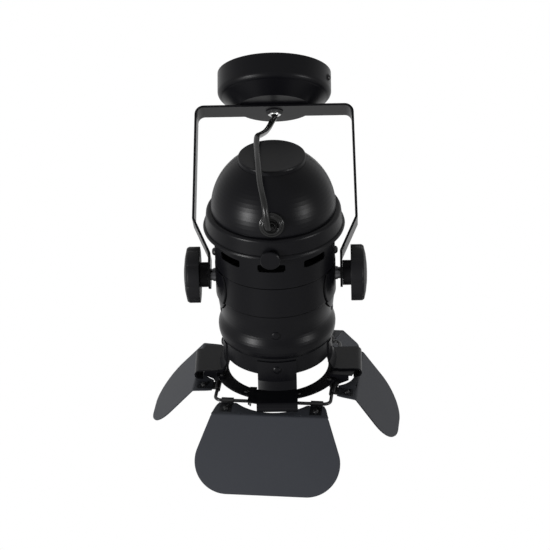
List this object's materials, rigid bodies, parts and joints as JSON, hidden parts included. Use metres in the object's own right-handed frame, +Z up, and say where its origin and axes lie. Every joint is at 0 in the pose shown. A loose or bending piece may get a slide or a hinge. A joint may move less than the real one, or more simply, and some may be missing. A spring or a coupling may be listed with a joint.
{
  "type": "ceiling spotlight with barn doors",
  "caption": "Ceiling spotlight styled as a stage follow spot: canopy, swivelling yoke, tilting ventilated can with clamp knobs, and folding barn doors.",
  "frame": {"origin": "centre of the canopy's ceiling face", "axes": "+Z up into the ceiling, +X along the tilt axis, -Y towards the side where the supply flex enters the rear dome"},
  "size_m": [0.2178, 0.3154, 0.3733],
  "materials": {
    "powder_coat": "satin black powder coat",
    "door_sheet": "fine-textured black powder coat",
    "black_screws": "blackened",
    "zinc": "zinc plated",
    "brass": "plain",
    "ceramic": "glazed ceramic",
    "block_plastic": "moulded",
    "knob_plastic": "fine matt moulding",
    "rubber": "soft"
  },
  "bodies": {
    "canopy": {"canopy_cup": "powder_coat", "ceiling_bracket": "zinc", "canopy_side_screws": "black_screws", "cable_nipple": "zinc", "nipple_lock_nut": "zinc", "swivel_washer": "zinc", "clamp_washer": "knob_plastic", "nipple_nut": "zinc", "terminal_block": "block_plastic", "terminal_screws": "brass"},
    "yoke": {"yoke_bracket": "powder_coat", "supply_flex": "rubber"},
    "thumb_screw": {"thumb_screw": "powder_coat"},
    "knob_left": {"knob_left_grip": "knob_plastic", "knob_left_stud": "zinc"},
    "knob_right": {"knob_right_grip": "knob_plastic", "knob_right_stud": "zinc"},
    "door_frame": {"door_ring": "powder_coat", "tab_front": "powder_coat", "tab_right": "powder_coat", "tab_rear": "powder_coat", "tab_left": "powder_coat", "wire_frame": "powder_coat", "ring_rivets": "black_screws"},
    "door_front": {"leaf_front": "door_sheet", "clips_front": "black_screws", "screws_front": "black_screws"},
    "door_right": {"leaf_right": "door_sheet", "clips_right": "black_screws", "screws_right": "black_screws"},
    "door_rear": {"leaf_rear": "door_sheet", "clips_rear": "black_screws", "screws_rear": "black_screws"},
    "door_left": {"leaf_left": "door_sheet", "clips_left": "black_screws", "screws_left": "black_screws"},
    "can": {"rear_dome": "powder_coat", "dome_skirt": "powder_coat", "dome_cap": "powder_coat", "rim_ring": "powder_coat", "can_barrel": "powder_coat", "barrel_sleeve": "powder_coat", "front_shell": "powder_coat", "side_plates": "powder_coat", "pivot_bushes": "zinc", "pivot_nuts": "zinc", "cable_grommet": "rubber", "lampholder": "ceramic", "lamp_contact": "brass", "lamp_bridge": "zinc", "lamp_feet": "zinc", "lamp_bracket_screws": "black_screws", "waist_rivets": "powder_coat", "neck_rivets": "powder_coat", "holder_front": "powder_coat", "holder_right": "powder_coat", "holder_rear": "powder_coat", "holder_left": "powder_coat"}
  },
  "joints": [
    {"name": "yoke_swivel", "type": "hinge", "parent": "canopy", "child": "yoke", "pos_m": [0, 0, 0], "axis": [0, 0, 1], "range_deg": [-165, 165]},
    {"name": "can_tilt", "type": "hinge", "parent": "yoke", "child": "can", "pos_m": [0, 0, -0.184], "axis": [1, 0, 0], "range_deg": [-78, 42], "deforming": ["supply_flex"]},
    {"name": "knob_left_turn", "type": "hinge", "parent": "can", "child": "knob_left", "pos_m": [0, 0, -0.184], "axis": [-1, 0, 0], "range_deg": [-180, 180]},
    {"name": "knob_right_turn", "type": "hinge", "parent": "can", "child": "knob_right", "pos_m": [0, 0, -0.184], "axis": [1, 0, 0], "range_deg": [-180, 180]},
    {"name": "thumb_screw_turn", "type": "hinge", "parent": "can", "child": "thumb_screw", "pos_m": [-0.00217, -0.07868, -0.19666], "axis": [-0.0349, -0.6687, -0.7427], "range_deg": [-180, 180]},
    {"name": "door_frame_turn", "type": "hinge", "parent": "can", "child": "door_frame", "pos_m": [0, 0, -0.184], "axis": [0, -0.7431, 0.6691], "range_deg": [-1, 12]},
    {"name": "door_front_fold", "type": "hinge", "parent": "door_frame", "child": "door_front", "pos_m": [-0.0048, 0.04057, -0.28764], "axis": [-0.9954, 0.0641, 0.0712], "range_deg": [-50, 7]},
    {"name": "door_right_fold", "type": "hinge", "parent": "door_frame", "child": "door_right", "pos_m": [0.04987, 0.07073, -0.25415], "axis": [-0.0958, -0.6661, -0.7397], "range_deg": [-44, 13]},
    {"name": "door_rear_fold", "type": "hinge", "parent": "door_frame", "child": "door_rear", "pos_m": [0.0048, 0.10731, -0.21352], "axis": [0.9954, -0.0641, -0.0712], "range_deg": [-46, 11]},
    {"name": "door_left_fold", "type": "hinge", "parent": "door_frame", "child": "door_left", "pos_m": [-0.04987, 0.07716, -0.24701], "axis": [0.0958, 0.6661, 0.7397], "range_deg": [-52, 5]}
  ]
}
